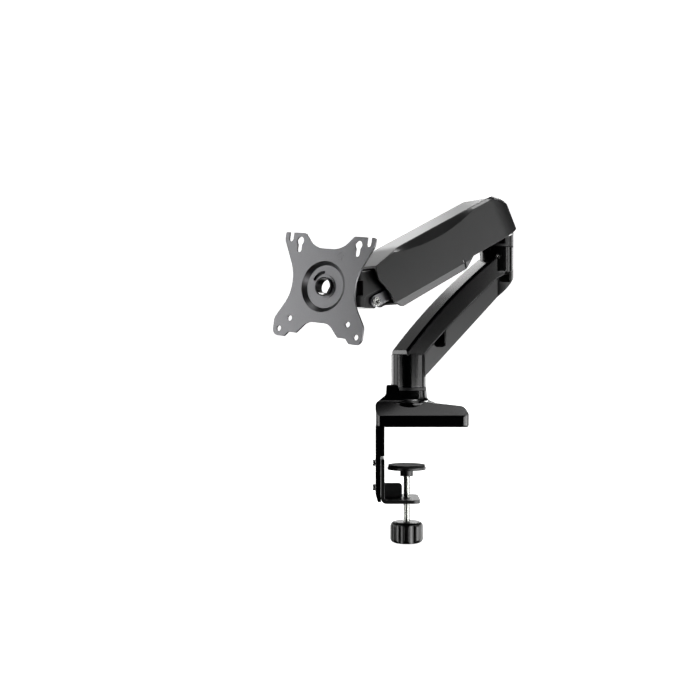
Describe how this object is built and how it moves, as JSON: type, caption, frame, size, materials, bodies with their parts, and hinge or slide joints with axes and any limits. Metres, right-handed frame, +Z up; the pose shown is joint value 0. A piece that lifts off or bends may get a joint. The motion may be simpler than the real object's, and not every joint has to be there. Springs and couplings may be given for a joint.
{
  "type": "monitor arm",
  "caption": "Desk-clamped monitor arm with a swivelling lower arm, a spring-balanced parallel-link upper arm and a tilting, turning monitor plate.",
  "frame": {"origin": "where the column's axis meets the top of the desk, at the underside of the foot's rubber", "axes": "+Z up the column, +X from the desk's edge in over the desk, +Y to the far side of the picture's view"},
  "size_m": [0.2826, 0.2, 0.4024],
  "materials": {
    "black_casting": "gloss black paint",
    "black_steel": "semi-gloss black powder coat",
    "charcoal_cover": "fine-textured charcoal",
    "lid_cover": "satin charcoal",
    "black_plastic": "black",
    "satin_casting": "satin black paint",
    "metallic_grey_steel": "metallic dark grey paint",
    "bright_steel": "bright plated steel",
    "rubber": "black rubber",
    "bearing_plastic": "black bearing plastic"
  },
  "bodies": {
    "base": {"base_casting": "black_casting", "base_pad": "rubber", "lower_bracket": "black_steel", "bracket_screws": "bright_steel", "pole_post": "bright_steel", "base_washer": "bearing_plastic"},
    "clamp_jaw": {"pressure_plate": "black_steel", "pressure_pad": "rubber"},
    "clamp_spindle": {"clamp_screw": "bright_steel", "clamp_knob": "black_plastic"},
    "lower_arm": {"lower_arm_shell": "black_casting", "lower_arm_cable_cover": "charcoal_cover", "lower_arm_bush": "bearing_plastic", "upper_arm_bush": "bearing_plastic", "swivel_stop_screw": "bright_steel"},
    "rear_yoke": {"rear_yoke": "satin_casting", "yoke_shaft": "bright_steel", "yoke_washer": "bearing_plastic", "spring_yoke_pin": "bright_steel", "rear_link_pins": "bright_steel"},
    "upper_arm": {"upper_arm_channel": "black_steel", "rear_arm_pin": "bright_steel", "rear_arm_spacers": "bearing_plastic", "front_arm_pin": "bright_steel", "front_arm_spacers": "bearing_plastic", "tension_block": "black_steel", "tension_screw": "bright_steel", "spring_arm_pin": "bright_steel", "gas_spring_cylinder": "black_steel", "upper_arm_top_cover": "lid_cover", "upper_arm_bottom_cover": "black_plastic", "upper_arm_side_cover_left": "charcoal_cover", "upper_arm_side_cover_right": "charcoal_cover"},
    "gas_rod": {"gas_spring_rod": "bright_steel"},
    "lower_link": {"lower_link_left": "metallic_grey_steel", "lower_link_right": "metallic_grey_steel"},
    "front_knuckle": {"front_knuckle": "satin_casting", "front_link_pins": "bright_steel", "swivel_pin": "bright_steel", "swivel_washers": "bearing_plastic"},
    "swivel_block": {"swivel_block": "satin_casting"},
    "tilt_bracket": {"tilt_bracket": "metallic_grey_steel", "tilt_washers": "bearing_plastic", "tilt_bolt": "bright_steel", "tilt_nut": "bright_steel", "hub_sleeve": "bright_steel", "hub_friction_washer": "bearing_plastic", "hub_retaining_ring": "bright_steel"},
    "vesa_plate": {"vesa_plate": "metallic_grey_steel"}
  },
  "joints": [
    {"name": "clamp_travel", "type": "slide", "parent": "base", "child": "clamp_jaw", "axis": [0, 0, 1], "range_m": [-0.005, 0.022]},
    {"name": "clamp_screw_turn", "type": "hinge", "parent": "clamp_jaw", "child": "clamp_spindle", "pos_m": [-0.0022, 0, -0.1], "axis": [0, 0, 1], "range_deg": [-1441, 6337]},
    {"name": "lower_arm_swivel", "type": "hinge", "parent": "base", "child": "lower_arm", "pos_m": [0, 0, 0.06], "axis": [0, 0, 1], "range_deg": [-180, 180]},
    {"name": "upper_arm_swivel", "type": "hinge", "parent": "lower_arm", "child": "rear_yoke", "pos_m": [0.10792, 0.0569, 0.2], "axis": [0, 0, 1], "range_deg": [-180, 180]},
    {"name": "arm_lift", "type": "hinge", "parent": "rear_yoke", "child": "upper_arm", "pos_m": [0.10448, 0.05486, 0.2538], "axis": [-0.509, 0.8607, 0], "range_deg": [-2, 50]},
    {"name": "link_swing", "type": "hinge", "parent": "rear_yoke", "child": "lower_link", "pos_m": [0.09759, 0.05079, 0.2238], "axis": [-0.509, 0.8607, 0], "range_deg": [-2, 50]},
    {"name": "knuckle_level", "type": "hinge", "parent": "upper_arm", "child": "front_knuckle", "pos_m": [-0.03932, -0.03018, 0.16978], "axis": [-0.509, 0.8607, 0], "range_deg": [-50, 2]},
    {"name": "spring_travel", "type": "slide", "parent": "upper_arm", "child": "gas_rod", "axis": [0.8064, 0.4769, 0.3497], "range_m": [-0.001, 0.019]},
    {"name": "head_swivel", "type": "hinge", "parent": "front_knuckle", "child": "swivel_block", "pos_m": [-0.07203, -0.04952, 0.16978], "axis": [0, 0, 1], "range_deg": [-99, 44]},
    {"name": "head_tilt", "type": "hinge", "parent": "swivel_block", "child": "tilt_bracket", "pos_m": [-0.08395, -0.0686, 0.13848], "axis": [-0.848, 0.5299, 0], "range_deg": [-35, 30]},
    {"name": "plate_rotation", "type": "hinge", "parent": "tilt_bracket", "child": "vesa_plate", "pos_m": [-0.096, -0.08788, 0.15402], "axis": [-0.5279, -0.8448, 0.0872], "continuous": true}
  ],
  "couplings": [
    {"joint": "clamp_screw_turn", "follows": "clamp_travel", "rad_per_m": 5026.5},
    {"joint": "link_swing", "follows": "arm_lift", "ratio": 1},
    {"joint": "knuckle_level", "follows": "arm_lift", "ratio": -1},
    {"joint": "spring_travel", "follows": "arm_lift", "m_per_rad": 0.0208}
  ]
}
